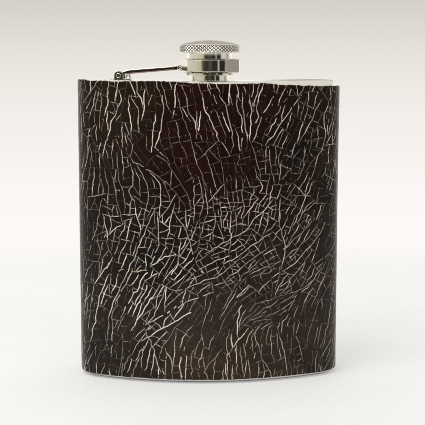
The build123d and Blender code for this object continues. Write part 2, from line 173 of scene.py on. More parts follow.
# Zones of the hide: middle (u, z), reach, the way the long cracks lean in degrees
# from the horizontal, cell size across and along them, brightness, how much of the cross-cracks
# show, and the share of cracks that are open.
ZONES = (
    (-41, 95, 9, 75, 2.4, 4.5, 0.80, 0.70, 0.80),
    (-28, 94, 12, 88, 2.8, 5.5, 1.00, 0.45, 0.70),
    (-12, 94, 11, 100, 3.0, 6.5, 1.05, 0.30, 0.66),
    (4, 94, 10, 112, 3.0, 7.0, 1.05, 0.30, 0.70),
    (14, 94, 7, 86, 2.6, 7.0, 1.05, 0.25, 0.70),
    (27, 94, 10, 62, 3.0, 5.5, 0.85, 0.50, 0.70),
    (40, 94, 9, 72, 2.4, 4.0, 0.75, 0.70, 0.75),
    (-38, 76, 10, 92, 2.6, 4.6, 0.85, 0.55, 0.75),
    (-22, 77, 9, 128, 3.6, 6.0, 0.46, 0.50, 0.60),
    (-4, 78, 12, 108, 3.6, 5.0, 0.42, 0.70, 0.65),
    (14, 78, 9, 95, 2.6, 3.2, 0.44, 0.90, 0.80),
    (36, 76, 10, 66, 2.6, 4.0, 0.70, 0.60, 0.75),
    (-34, 58, 11, 84, 2.6, 3.4, 0.95, 0.90, 0.97),
    (-18, 58, 9, 76, 2.5, 3.0, 0.95, 0.90, 0.97),
    (2, 60, 13, 98, 1.8, 1.9, 0.72, 1.00, 1.00),
    (18, 62, 9, 74, 1.9, 2.2, 0.82, 1.00, 0.98),
    (34, 58, 10, 58, 2.3, 3.4, 0.72, 0.80, 0.94),
    (-28, 34, 14, 60, 2.6, 5.5, 1.15, 0.60, 0.92),
    (-12, 40, 10, 52, 2.4, 3.2, 1.05, 0.85, 0.97),
    (6, 42, 12, 28, 1.9, 2.3, 0.85, 0.90, 0.98),
    (22, 40, 11, 32, 2.0, 2.8, 0.78, 0.80, 0.95),
    (38, 40, 9, 52, 2.0, 3.2, 0.66, 0.80, 0.90),
    (-22, 18, 9, 48, 2.6, 4.0, 1.15, 0.80, 0.90),
    (-38, 16, 10, 82, 2.6, 3.6, 0.60, 0.50, 0.50),
    (0, 24, 9, 55, 3.0, 5.0, 0.40, 0.45, 0.40),
    (20, 26, 11, 28, 2.0, 3.4, 0.55, 0.60, 0.66),
    (-14, 9, 9, 92, 2.6, 6.0, 1.10, 0.50, 0.85),
    (8, 9, 11, 96, 2.8, 7.0, 1.10, 0.30, 0.80),
    (26, 12, 9, 104, 2.2, 3.8, 0.70, 0.60, 0.75),
    (38, 16, 10, 76, 2.2, 3.2, 0.46, 0.70, 0.62),
    (-52, 55, 14, 88, 2.4, 3.6, 0.46, 0.60, 0.66),
    (52, 55, 14, 84, 2.4, 3.6, 0.50, 0.70, 0.70),
    (75, 85, 20, 80, 2.8, 5.0, 0.90, 0.60, 0.76),
    (-75, 85, 20, 96, 2.6, 4.4, 0.95, 0.50, 0.80),
    (85, 45, 22, 40, 2.4, 4.0, 0.90, 0.80, 0.86),
    (-85, 45, 22, 68, 2.6, 3.4, 0.85, 0.90, 0.90),
    (95, 12, 20, 88, 2.6, 5.0, 0.95, 0.55, 0.74),
    (-95, 12, 20, 92, 2.6, 5.0, 0.95, 0.55, 0.74),
)
ZONE_TABLE = np.array(ZONES, float)


def zone_values(u, z):
    """Lean (radians), cell across, cell along, brightness, cross share and open share at points."""
    u, z = np.atleast_1d(u).astype(float), np.atleast_1d(z).astype(float)
    total = np.zeros(len(u))
    lean_x, lean_y = np.zeros(len(u)), np.zeros(len(u))
    values = np.zeros((5, len(u)))
    for mid_u, mid_z, reach, lean, *rest in ZONE_TABLE:
        gap = np.abs(u - mid_u)
        gap = np.minimum(gap, 2 * SEAM_U - gap)
        weight = 1 / (0.02 + ((gap / reach) ** 2 + ((z - mid_z) / reach) ** 2) ** 1.6)
        total += weight
        lean_x += weight * math.cos(2 * math.radians(lean))
        lean_y += weight * math.sin(2 * math.radians(lean))
        values += weight * np.array(rest)[:, None]
    return (np.arctan2(lean_y, lean_x) / 2, *(values / total))


MAP_STEP = 1.0
map_u = np.arange(-SEAM_U, SEAM_U, MAP_STEP)
map_z = np.arange(-4, 114, MAP_STEP)
mesh_u, mesh_z = np.meshgrid(map_u, map_z)
ZONE_MAP = np.array(zone_values(mesh_u.ravel(), mesh_z.ravel())).reshape(6, len(map_z), len(map_u))


def look_up(u, z):
    """Zone values at one point from the coarse map."""
    column = int((u + SEAM_U) / MAP_STEP) % len(map_u)
    row = min(max(int((z + 4) / MAP_STEP), 0), len(map_z) - 1)
    return ZONE_MAP[:, row, column]


# ---- leather: drawing the cracks on the grid ----------------------------------------------------

GRID = 0.20                  # mm between points of the leather's face
COLUMNS = int(2 * SEAM_U / GRID)
ROWS = int((LEATHER_TOP_Z - LEATHER_LOW_Z) / GRID)
STEP_U = 2 * SEAM_U / COLUMNS
STEP_Z = (LEATHER_TOP_Z + 1.5 - LEATHER_LOW_Z) / (ROWS - 1)
NEAR_REACH = 0.4             # mm over which closeness to a crack falls from 1 at its edge to 0
near = np.zeros((ROWS, COLUMNS), np.float32)
shade_map = np.zeros((ROWS, COLUMNS), np.float32)


def draw_line(p, q, width_p, width_q, shade_p, shade_q):
    """One straight crack on the grid, width and shade changing from end to end."""
    reach = max(width_p, width_q) / 2 + NEAR_REACH
    c0 = int(math.floor((min(p[0], q[0]) - reach + SEAM_U) / STEP_U))
    c1 = int(math.ceil((max(p[0], q[0]) + reach + SEAM_U) / STEP_U)) + 1
    r0 = max(0, int(math.floor((min(p[1], q[1]) - reach - LEATHER_LOW_Z) / STEP_Z)))
    r1 = min(ROWS, int(math.ceil((max(p[1], q[1]) + reach - LEATHER_LOW_Z) / STEP_Z)) + 1)
    if r1 <= r0 or c1 <= c0:
        return
    columns = np.arange(c0, c1)
    uu = columns[None, :] * STEP_U - SEAM_U
    zz = np.arange(r0, r1)[:, None] * STEP_Z + LEATHER_LOW_Z
    du, dz = q[0] - p[0], q[1] - p[1]
    t = np.clip(((uu - p[0]) * du + (zz - p[1]) * dz) / max(du * du + dz * dz, 1e-9), 0, 1)
    distance = np.hypot(uu - p[0] - t * du, zz - p[1] - t * dz)
    half = (width_p + (width_q - width_p) * t) / 2
    shade = np.minimum(1, shade_p + (shade_q - shade_p) * t)
    closeness = 1 - (distance - half) / NEAR_REACH
    wrapped = columns % COLUMNS
    old_near, old_shade = near[r0:r1, wrapped], shade_map[r0:r1, wrapped]
    # Where two cracks come close the brighter one shows.
    wins = closeness * (0.6 + 0.4 * shade) > old_near * (0.6 + 0.4 * old_shade)
    near[r0:r1, wrapped] = np.where(wins, closeness, old_near)
    shade_map[r0:r1, wrapped] = np.where(wins, shade, old_shade)


def draw_kinked(p, q, width, shades, sway):
    """A crack from p to q in short pieces that wander to either side."""
    length = math.hypot(q[0] - p[0], q[1] - p[1])
    pieces = max(1, int(round(length / 1.0)))
    nu, nz = -(q[1] - p[1]) / max(length, 1e-9), (q[0] - p[0]) / max(length, 1e-9)
    last, last_shade = p, shades[0]
    for k in range(1, pieces + 1):
        t = k / pieces
        off = 0 if k == pieces else rng.normal(0, sway)
        point = (p[0] + (q[0] - p[0]) * t + nu * off, p[1] + (q[1] - p[1]) * t + nz * off)
        shade = (shades[0] + (shades[1] - shades[0]) * t) * rng.uniform(0.7, 1.2)
        draw_line(last, point, width, width, last_shade, shade)
        last, last_shade = point, shade


# The longest cracks, given as (u, z) points down their length.
LONG_CRACKS = (
    ((-17, 105), (-16.5, 97), (-17, 91), (-19.5, 84.5)),
    ((-11.5, 104), (-10.5, 98.5), (-8.5, 93.5), (-6.8, 87), (-5.4, 81.5), (-2.6, 73), (-1, 69.5)),
    ((-9, 104.5), (-7.5, 99), (-5.8, 95), (-4.7, 89.5)),
    ((-3, 104.5), (-2.2, 99.5), (0, 95), (1.7, 90.5), (3.3, 86.5)),
    ((-3.4, 98), (-4, 93), (-5.2, 88)),
    ((1, 104), (2.6, 100.5)),
    ((3, 104), (5.8, 99.6), (6.6, 95.6), (7.6, 90), (8, 86), (7.4, 83)),
    ((6.6, 104.5), (7.4, 101)),
    ((9.2, 104), (9, 101), (10.4, 96.5), (11, 90.5), (10.6, 85)),
    ((11, 104.8), (11.3, 98), (12.2, 91.5), (12.7, 86.5)),
    ((13.6, 104), (14, 97.5), (14.3, 92), (13.4, 86)),
    ((22.3, 103.5), (19.8, 99.2), (17.6, 95.3), (16.6, 91), (14.4, 86.2)),
    ((16, 100), (16.6, 96), (15.8, 92)),
    ((32.4, 103.6), (28, 98), (24.3, 93), (22.2, 89), (19.2, 85.6)),
    ((41, 103), (38.5, 98.5), (36, 93), (33.5, 88.5)),
    ((44, 102), (42, 95), (43.5, 89), (40.5, 82), (38, 76)),
    ((-41.5, 104.5), (-43, 99.5), (-44.6, 94)),
    ((-36.4, 104.6), (-37.4, 98), (-38.8, 95)),
    ((-32.6, 105), (-31.8, 101.5), (-33.5, 97), (-36.2, 92.5), (-37, 86.5)),
    ((-28.6, 103), (-28.8, 98), (-28, 92), (-28, 87.5)),
    ((-20.4, 103), (-21.6, 99.4)),
    ((-35, 87), (-35.5, 81.5)),
    ((-29.6, 82), (-27, 79), (-21, 76), (-15.5, 72), (-12, 68.5), (-9, 63)),
    ((-22.5, 84), (-16, 79.5), (-11.5, 74), (-8, 68), (-6.5, 62)),
    ((-31, 79), (-31.2, 73.5)),
    ((-28.5, 78.5), (-27, 73), (-29, 68.5), (-26.5, 63)),
    ((16.5, 74), (19, 70.5), (16.8, 66), (13.5, 62.5), (11.5, 60)),
    ((30, 71), (35, 66.5), (33, 61), (29.5, 55)),
    ((34.5, 85), (34, 77), (31, 71), (27.5, 66)),
    ((25, 61.5), (24.5, 56), (26.5, 51), (27, 46), (25.5, 41)),
    ((7.5, 62), (6.6, 57), (7, 52), (6.4, 46.5)),
    ((-18.6, 61.5), (-18.5, 57), (-18, 50), (-20, 45.5), (-21.6, 41.5)),
    ((-13, 62), (-8.5, 55), (-6.5, 48), (-4.6, 42.5)),
    ((-39.8, 60.5), (-38, 55), (-37.6, 50)),
    ((-38.2, 52), (-34, 55.5), (-30.5, 57.5)),
    ((-28, 41), (-31.2, 34), (-35, 27.5)),
    ((-20.5, 44), (-23.5, 38.5), (-27.5, 32), (-32.5, 23)),
    ((-18, 35.5), (-21.5, 30), (-25.5, 24), (-29, 18.5)),
    ((-37.6, 38.2), (-31, 41)),
    ((-28.4, 40), (-22.8, 41)),
    ((-24.6, 15.2), (-18.5, 19.5), (-13, 22.5), (-5, 27.5)),
    ((-23.5, 21), (-14, 26.5), (-6.5, 30.5), (2.5, 34)),
    ((-24, 20), (-20.5, 12), (-18.8, 6.5), (-17.5, 3)),
    ((-20, 36.5), (-12, 33.5), (-4, 36.5), (3.5, 39.5), (11, 46)),
    ((-8.6, 37), (0, 41), (8, 45), (16, 50.5), (22, 54)),
    ((-2, 47), (6, 51.5), (14, 56)),
    ((24.6, 46.5), (32, 52), (38.6, 58)),
    ((27, 44.5), (35, 50), (41, 57)),
    ((9.4, 34.5), (5.6, 28), (3, 23)),
    ((0.6, 31), (-1.6, 24.5), (-3.4, 18.5)),
    ((13.5, 20), (9.5, 15.5), (6.5, 11.5)),
    ((26.4, 30.5), (21, 27.5), (14.6, 23.5), (10, 19)),
    ((30, 30), (36.5, 33.5), (42, 40.5)),
    ((-9.2, 13.5), (-11.2, 8.5), (-10.8, 3.5), (-9.6, 0.5)),
    ((-6.4, 12), (-7, 7), (-6.6, 2)),
    ((-2.6, 13), (-4, 8), (-4, 3)),
    ((4, 12.5), (0.6, 8.5), (-2.2, 4.6), (-0.5, 0)),
    ((11.6, 14.5), (12, 9.6)),
    ((9, 8), (9.4, 3)),
    ((12.8, 8.5), (12.2, 2.5)),
    ((16.2, 13), (15.6, 9)),
    ((18.6, 14), (18.2, 9.5)),
    ((17.4, 7), (17, 2)),
    ((22, 19), (21.6, 12), (23.6, 6)),
    ((-16.2, 13), (-14, 8), (-13.4, 3)),
)


# Marks of where cracks already run, so that new ones keep their distance and stop when they meet one.
INK_STEP = 0.1               # mm between the points that a drawn line marks
TRACE_STEP = 0.2             # mm that a growing crack moves at a time
TRACE_FREE = 0.7             # mm that it grows before another crack can stop it
NETWORK_TRIALS = 60000
TICKS = 1500
MARK_STEP = 0.25
MARK_LOW = -4.0
MARK_HIGH = 112.0
mark_columns = int(2 * SEAM_U / MARK_STEP)
mark_rows = int((MARK_HIGH + 2 - MARK_LOW) / MARK_STEP)
taken = np.zeros((mark_rows, mark_columns), bool)


def mark_cell(u, z):
    row = min(max(int((z - MARK_LOW) / MARK_STEP), 0), mark_rows - 1)
    return row, int((u + SEAM_U) / MARK_STEP) % mark_columns


def mark_line(points):
    for (u0, z0), (u1, z1) in zip(points, points[1:]):
        steps = max(1, int(math.hypot(u1 - u0, z1 - z0) / INK_STEP))
        for k in range(steps + 1):
            row, column = mark_cell(u0 + (u1 - u0) * k / steps, z0 + (z1 - z0) * k / steps)
            taken[row, column] = True
            taken[row, (column + 1) % mark_columns] = True


def has_room(u, z, heading, room):
    """Whether no crack lies within the given distance on either side of a point."""
    side_u, side_z = -math.sin(heading), math.cos(heading)
    steps = int(room / TRACE_STEP)
    for k in range(-steps, steps + 1):
        if taken[mark_cell(u + TRACE_STEP * k * side_u, z + TRACE_STEP * k * side_z)]:
            return False
    return True


def trace(u, z, turn, sense, length):
    """Points of a crack from one spot at a turn from the lean, with kinks, until it meets another."""
    points = [(u, z)]
    heading = look_up(u, z)[0] + turn + (math.pi if sense < 0 else 0)
    travelled = 0.0
    while travelled < length:
        wanted = look_up(u, z)[0] + turn
        if math.cos(wanted - heading) < 0:
            wanted += math.pi
        heading = wanted + rng.normal(0, 0.17)
        for _ in range(int(rng.uniform(3, 11))):
            u, z = u + TRACE_STEP * math.cos(heading), z + TRACE_STEP * math.sin(heading)
            travelled += TRACE_STEP
            if not MARK_LOW + 1 < z < MARK_HIGH or (travelled > TRACE_FREE and taken[mark_cell(u, z)]):
                points.append((u, z))
                return points
        points.append((u, z))
    return points


def draw_traced(points, strength, width, gaps):
    """A traced crack whose shade wanders down its length, thin at both ends and broken in places."""
    last = len(points) - 2
    shade = strength * rng.uniform(0.6, 1.0)
    for k in range(last + 1):
        ends = 0.65 if k in (0, last) else 1.0
        next_shade = strength * min(1.1, max(0.35, shade / strength + rng.normal(0, 0.25)))
        if rng.random() > gaps:
            draw_kinked(points[k], points[k + 1], width * ends, (shade * ends, next_shade * ends), 0.045)
        shade = next_shade


def subdivide(points, stride, sway):
    """Points down a written crack at short, uneven strides, each a little off the line."""
    out = [tuple(map(float, points[0]))]
    for (u0, z0), (u1, z1) in zip(points, points[1:]):
        pieces = max(1, int(round(math.hypot(u1 - u0, z1 - z0) / stride)))
        for k in range(1, pieces + 1):
            t = (k + rng.uniform(-0.25, 0.25)) / pieces
            out.append((u0 + (u1 - u0) * t + rng.normal(0, sway), z0 + (z1 - z0) * t + rng.normal(0, sway)))
    return out


def draw_long_cracks():
    for written in LONG_CRACKS:
        points = subdivide(written, 1.9, 0.22)
        mark_line(points)
        dim = look_up(*points[len(points) // 2])[3]
        strength = (0.05 + 0.90 * dim) * rng.uniform(0.8, 1.1)
        draw_traced(points, strength, 0.12 + 0.16 * strength, 0.05)


def draw_network():
    """Cracks along and across the lean, each grown until it meets another, larger cells first."""
    for trial in range(NETWORK_TRIALS):
        u, z = rng.uniform(-SEAM_U, SEAM_U), rng.uniform(-2, 110)
        lean, across, along, bright, cross_share, opened = look_up(u, z)
        crossing = rng.random() < 0.18 + 0.30 * cross_share
        spacing = along if crossing else across
        turn = math.pi / 2 + rng.normal(0, 0.34) if crossing else rng.normal(0, 0.20)
        early = 1.0 - trial / NETWORK_TRIALS
        room = spacing * (0.45 + 0.8 * early ** 2) * rng.uniform(0.8, 1.2)
        if not has_room(u, z, lean + turn, room):
            continue
        length = rng.exponential(4.0 if crossing else 6.0) + (2.4 if crossing else 3.0)
        points = trace(u, z, turn, -1, length)[::-1] + trace(u, z, turn, 1, length)[1:]
        mark_line(points)
        share = cross_share if crossing else 1.0
        strength = bright * share * rng.uniform(0.55, 1.15)
        if rng.random() > opened * (0.75 + 0.25 * share):
            strength = rng.uniform(0.05, 0.22)
        draw_traced(points, strength, 0.09 + 0.16 * strength, 0.03)


def draw_ticks():
    """Short loose cracks and pinpricks between the others."""
    for _ in range(TICKS):
        u, z = rng.uniform(-SEAM_U, SEAM_U), rng.uniform(LEATHER_LOW_Z, LEATHER_TOP_Z)
        lean, _, _, bright, _, _ = look_up(u, z)
        angle = lean + rng.normal(0, 0.4)
        length = rng.exponential(0.5) + 0.1
        shade = min(1, bright * rng.uniform(0.3, 1.1))
        q = (u + length * math.cos(angle), z + length * math.sin(angle))
        draw_line((u, z), q, 0.12, 0.05, shade, shade * 0.6)


draw_long_cracks()
draw_network()
draw_ticks()

# ---- leather: the sleeve ------------------------------------------------------------------------

column_u = np.arange(COLUMNS) * STEP_U - SEAM_U
row_z = np.arange(ROWS) * STEP_Z + LEATHER_LOW_Z
grid_u, grid_z = np.meshgrid(column_u, row_z)

crack = shade_map * np.clip(2 * near - 1.45, 0, 1)
seam = np.exp(-((SEAM_U - np.abs(grid_u)) / 0.30) ** 2)
relief = (
    -0.085 * crack
    + 0.030 * value_noise(grid_u, grid_z, 3.1, 11)
    + 0.014 * value_noise(grid_u, grid_z, 1.1, 12)
    + 0.007 * value_noise(grid_u, grid_z, 0.5, 13)
    - 0.45 * seam
)
# The top right corner stands a little off the steel.
flare = 0.32 * smoothstep(30, 46, grid_u) * smoothstep(64, 46, np.abs(grid_u))
flare *= smoothstep(72, 106, grid_z)


def edge_nicks(u, seed):
    """Small unevenness of a hand-cut edge, in millimetres."""
    return (
        0.10 * value_noise(u, np.zeros_like(u), 5.0, seed)
        + 0.09 * value_noise(u, np.zeros_like(u), 1.3, seed + 1)
        + 0.07 * value_noise(u, np.zeros_like(u), 0.6, seed + 2)
    )


# The cut along the front's top swells a little above its straight slope, once on each side.
TOP_SWELL = 0.6
TOP_SWELL_X = 18.0
TOP_SWELL_REACH = 9.0

ox, oy, nx, ny = outline(column_u)
swell = TOP_SWELL * np.exp(-((np.abs(ox) - TOP_SWELL_X) / TOP_SWELL_REACH) ** 2)
swell *= np.abs(column_u) < FRONT_HALF
top_cut = LEATHER_TOP_Z - LEATHER_SLOPE * ox + swell + 1.4 * edge_nicks(column_u, 21)
low_cut = LEATHER_LOW_Z + 0.6 * edge_nicks(column_u, 31)
drawn_top = row_z[-1]
# Rows keep their drawn height and are squeezed only near the top, where the cut slopes.
squeeze = smoothstep(70, drawn_top, row_z)[:, None]
lift = smoothstep(14, LEATHER_LOW_Z, row_z)[:, None]
face_z = grid_z + squeeze * (top_cut - drawn_top)[None, :] + lift * (low_cut - LEATHER_LOW_Z)[None, :]
EDGE_ROUND = 0.12
EDGE_REACH = 0.22
edge_round = EDGE_ROUND * (
    np.exp(-((face_z - low_cut[None, :]) / EDGE_REACH) ** 2)
    + np.exp(-((face_z - top_cut[None, :]) / EDGE_REACH) ** 2)
)
height = relief + flare - edge_round

THICKNESS = LEATHER_OUT - LEATHER_GAP
fray = 0.10 * value_noise(column_u, np.zeros_like(column_u), 0.5, 41)
# Rings round the cut edge: depth below the face, rise past the cut, and share of the fraying.
RIM_RINGS = [
    (-0.30, 0.02, 1.0),
    (-0.62, 0.03, 1.0),
    (-THICKNESS + 0.1, -0.02, 1.0),
    (-THICKNESS, -0.12, 0.0),
]
rings_x, rings_y, rings_z, rings_cut = [], [], [], []
for r in range(ROWS):
    rings_x.append(ox + nx * height[r])
    rings_y.append(oy + ny * height[r])
    rings_z.append(face_z[r])
    rings_cut.append(np.zeros(COLUMNS))
flare_top = flare[-1]
for depth, rise, fray_share in RIM_RINGS:
    rings_x.append(ox + nx * (depth + flare_top))
    rings_y.append(oy + ny * (depth + flare_top))
    rings_z.append(top_cut + rise + fray * fray_share * 0.8)
    rings_cut.append(np.full(COLUMNS, 1.0))
for inner_z in (90.0, 60.0, 30.0):
    rings_x.append(ox - nx * THICKNESS)
    rings_y.append(oy - ny * THICKNESS)
    rings_z.append(np.full(COLUMNS, inner_z))
    rings_cut.append(np.full(COLUMNS, 1.0))
for depth, rise, fray_share in reversed(RIM_RINGS):
    rings_x.append(ox + nx * depth)
    rings_y.append(oy + ny * depth)
    rings_z.append(low_cut - rise - fray * fray_share * 0.5)
    rings_cut.append(np.full(COLUMNS, 1.0))
sleeve_verts = np.stack([np.array(rings_x), np.array(rings_y), np.array(rings_z)], axis=2)
ring_count = sleeve_verts.shape[0]
leather_sleeve = make_object(
    "leather_sleeve", sleeve_verts.reshape(-1, 3), ring_faces(ring_count, COLUMNS)
)

extra = ring_count - ROWS
add_value(leather_sleeve, "near", np.concatenate([near, np.zeros((extra, COLUMNS))]))
add_value(leather_sleeve, "shade", np.concatenate([shade_map, np.zeros((extra, COLUMNS))]))
add_value(leather_sleeve, "cut_edge", np.array(rings_cut))
add_value(leather_sleeve, "seam", np.concatenate([seam, np.zeros((extra, COLUMNS))]))

# Dye with painted reflection: red-brown over the upper middle, olive-brown lower right; the lighter, greyer
# colour towards the bottom and at both ends is painted reflection of the bright floor and surroundings.
DYE_AND_SHEEN_TINTS = (
    (0, 84, 22, (0.0110, 0.0016, 0.0012)),
    (-28, 98, 10, (0.0105, 0.0050, 0.0016)),
    (-30, 60, 16, (0.0066, 0.0024, 0.0016)),
    (-22, 46, 6, (0.0030, 0.0030, 0.0026)),
    (6, 54, 14, (0.0078, 0.0028, 0.0018)),
    (24, 40, 11, (0.0150, 0.0092, 0.0040)),
    (34, 30, 14, (0.0200, 0.0130, 0.0090)),
    (6, 8, 13, (0.0270, 0.0165, 0.0090)),
    (-36, 18, 12, (0.0150, 0.0105, 0.0080)),
    (0, 24, 9, (0.0230, 0.0175, 0.0135)),
    (38, 84, 14, (0.0085, 0.0050, 0.0036)),
    (30, 80, 5, (0.0030, 0.0030, 0.0026)),
    (-46, 50, 10, (0.0120, 0.0090, 0.0075)),
    (47, 50, 10, (0.0130, 0.0095, 0.0075)),
    (80, 60, 30, (0.0110, 0.0055, 0.0038)),
    (-80, 60, 30, (0.0110, 0.0050, 0.0036)),
    (100, 20, 25, (0.0170, 0.0110, 0.0072)),
    (-100, 20, 25, (0.0160, 0.0105, 0.0070)),
)
dye_and_sheen_colour = np.zeros((ROWS, COLUMNS, 3), np.float32)
weight_sum = np.zeros((ROWS, COLUMNS), np.float32)
for mid_u, mid_z, reach, colour in DYE_AND_SHEEN_TINTS:
    gap = np.abs(grid_u - mid_u)
    gap = np.minimum(gap, 2 * SEAM_U - gap)
    weight = np.exp(-((gap / reach) ** 2 + ((grid_z - mid_z) / reach) ** 2)) + 1e-4
    dye_and_sheen_colour += weight[..., None] * np.array(colour, np.float32)
    weight_sum += weight
dye_and_sheen_colour /= weight_sum[..., None]
mottle = 1 + 0.28 * value_noise(grid_u, grid_z, 6.0, 51) + 0.22 * value_noise(grid_u, grid_z, 2.2, 52)
dye_and_sheen_colour *= mottle[..., None]
dye_and_sheen_layer = leather_sleeve.data.attributes.new("dye_and_painted_sheen", "FLOAT_COLOR", "POINT")
rgba = np.ones((ring_count, COLUMNS, 4), np.float32)
rgba[:ROWS, :, :3] = dye_and_sheen_colour
rgba[ROWS:, :, :3] = (0.030, 0.019, 0.013)
dye_and_sheen_layer.data.foreach_set("color", rgba.ravel())

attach(leather_sleeve, "flask")
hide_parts("leather_wrap")

# ---- knurled cap --------------------------------------------------------------------------------

DIAMONDS = 48
SAMPLES_PER_DIAMOND = 18
KNURL_PITCH_Z = 1.15
KNURL_DEPTH = 0.32
KNURL_SHARPNESS = 1.3
KNURL_STEP_Z = 0.075
KNURL_FADE = 0.12
KNURL_LOW_Z = HEAD_LOW_Z + 0.18
KNURL_HIGH_Z = HEAD_SIDE_TOP_Z - 0.10
CAP_COLUMNS = DIAMONDS * SAMPLES_PER_DIAMOND


def cap_profile():
    """(radius, z, knurl share) rings from the dome's middle out, down the skirt and back inside."""
    rise = HEAD_TOP_Z - HEAD_SIDE_TOP_Z
    dome_r = (HEAD_R ** 2 + rise ** 2) / (2 * rise)
    dome_mid_z = HEAD_TOP_Z - dome_r
    rings = []
    for r in np.concatenate([[0.02], np.linspace(0.5, HEAD_R - HEAD_EDGE, 22)]):
        rings.append((r, dome_mid_z + math.sqrt(dome_r ** 2 - r ** 2), 0))
    shoulder_z = dome_mid_z + math.sqrt(dome_r ** 2 - (HEAD_R - HEAD_EDGE) ** 2)
    for angle in (30, 60):
        r = HEAD_R - HEAD_EDGE + HEAD_EDGE * math.sin(math.radians(angle))
        drop = (shoulder_z - KNURL_HIGH_Z) * (1 - math.cos(math.radians(angle)))
        rings.append((r, shoulder_z - drop, 0))
    for z in np.arange(KNURL_HIGH_Z, KNURL_LOW_Z - 0.01, -KNURL_STEP_Z):
        share = min(1, (KNURL_HIGH_Z - z) / KNURL_FADE, (z - KNURL_LOW_Z) / KNURL_FADE)
        rings.append((HEAD_R, z, max(0, share)))
    rings += [
        (HEAD_R - 0.08, HEAD_LOW_Z + 0.06, 0),
        (HEAD_R - 0.22, HEAD_LOW_Z, 0),
        (HEAD_R - 1.4, HEAD_LOW_Z, 0),
        (SKIRT_R + 0.18, HEAD_LOW_Z, 0),
        (SKIRT_R + 0.05, HEAD_LOW_Z - 0.05, 0),
        (SKIRT_R, HEAD_LOW_Z - 0.18, 0),
        (SKIRT_R, 115.2, 0),
        (SKIRT_R, 113.0, 0),
        (SKIRT_R, WASHER_TOP_Z + 0.3, 0),
        (SKIRT_R, WASHER_TOP_Z, 0),
        (WASHER_SEAT_R, WASHER_TOP_Z, 0),
        (WASHER_SEAT_R, SKIRT_LOW_Z, 0),
        (SKIRT_BORE_R, SKIRT_LOW_Z, 0),
        (SKIRT_BORE_R, 112.0, 0),
        (SKIRT_BORE_R, CAP_CAVITY_TOP_Z, 0),
        (3.0, CAP_CAVITY_TOP_Z, 0),
        (0.02, CAP_CAVITY_TOP_Z, 0),
    ]
    return np.array(rings)


profile = cap_profile()
phi = np.arange(CAP_COLUMNS) / CAP_COLUMNS * 2 * math.pi
turn = np.arange(CAP_COLUMNS) / SAMPLES_PER_DIAMOND
ring_z = profile[:, 1][:, None]
rising = np.abs(2 * ((turn[None, :] + ring_z / KNURL_PITCH_Z) % 1) - 1)
falling = np.abs(2 * ((turn[None, :] - ring_z / KNURL_PITCH_Z) % 1) - 1)
groove = np.maximum(rising, falling) ** KNURL_SHARPNESS
radius = profile[:, 0][:, None] - KNURL_DEPTH * groove * profile[:, 2][:, None]
cap_verts = np.stack([
    radius * np.cos(phi)[None, :],
    radius * np.sin(phi)[None, :],
    np.broadcast_to(ring_z, radius.shape),
], axis=2)
# The last ring joins the first through the thickness at the axis, so the head is one closed skin.
cap_knurled = make_object(
    "cap_knurled_head", cap_verts.reshape(-1, 3), ring_faces(len(profile), CAP_COLUMNS)[:, ::-1]
)
on_dome = (profile[:, 1] > KNURL_HIGH_Z) & (profile[:, 0] < HEAD_R - 0.2)
add_value(cap_knurled, "groove", groove * profile[:, 2][:, None])
add_value(cap_knurled, "dome", np.broadcast_to(on_dome[:, None], radius.shape))
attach(cap_knurled, "cap")
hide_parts("cap_head")


# ---- materials ----------------------------------------------------------------------------------

class Nodes:
    """A new material's node tree with short calls for adding and linking nodes."""

    def __init__(self, name):
        self.material = bpy.data.materials.new(name)
        self.material.use_nodes = True
        self.tree = self.material.node_tree
        self.surface = self.tree.nodes["Principled BSDF"]

    def add(self, kind, **values):
        node = self.tree.nodes.new(kind)
        for key, value in values.items():
            if hasattr(node, key):
                setattr(node, key, value)
            else:
                node.inputs[key.replace("_", " ")].default_value = value
        return node

    def link(self, source, target):
        self.tree.links.new(source, target)

    def place(self):
        """Object coordinates in metres; a CAD node's object sits at the frame's origin."""
        return self.add("ShaderNodeTexCoord").outputs["Object"]

    def noise(self, scale, detail=3.0, roughness=0.5, stretch=None):
        node = self.add("ShaderNodeTexNoise", Scale=scale, Detail=detail, Roughness=roughness)
        source = self.place()
        if stretch is not None:
            mapping = self.add("ShaderNodeMapping")
            mapping.inputs["Scale"].default_value = stretch
            self.link(source, mapping.inputs["Vector"])
            source = mapping.outputs["Vector"]
        self.link(source, node.inputs["Vector"])
        return node.outputs["Fac"]

    def remap(self, source, low, high, to_low, to_high):
        node = self.add("ShaderNodeMapRange")
        for key, value in zip(("From Min", "From Max", "To Min", "To Max"), (low, high, to_low, to_high)):
            node.inputs[key].default_value = value
        self.link(source, node.inputs["Value"])
        return node.outputs["Result"]

    def mix(self, factor, a, b, mode="MIX"):
        node = self.add("ShaderNodeMix", data_type="RGBA", blend_type=mode)
        for source, socket in ((factor, node.inputs[0]), (a, node.inputs[6]), (b, node.inputs[7])):
            if isinstance(source, bpy.types.NodeSocket):
                self.link(source, socket)
            else:
                socket.default_value = source
        return node.outputs[2]

    def math(self, operation, a, b=0.0):
        node = self.add("ShaderNodeMath", operation=operation)
        for source, socket in ((a, node.inputs[0]), (b, node.inputs[1])):
            if isinstance(source, bpy.types.NodeSocket):
                self.link(source, socket)
            else:
                socket.default_value = source
        return node.outputs[0]

    def bump(self, height, strength, distance, normal=None):
        node = self.add("ShaderNodeBump", Strength=strength, Distance=distance)
        self.link(height, node.inputs["Height"])
        if normal is not None:
            self.link(normal, node.inputs["Normal"])
        return node.outputs["Normal"]


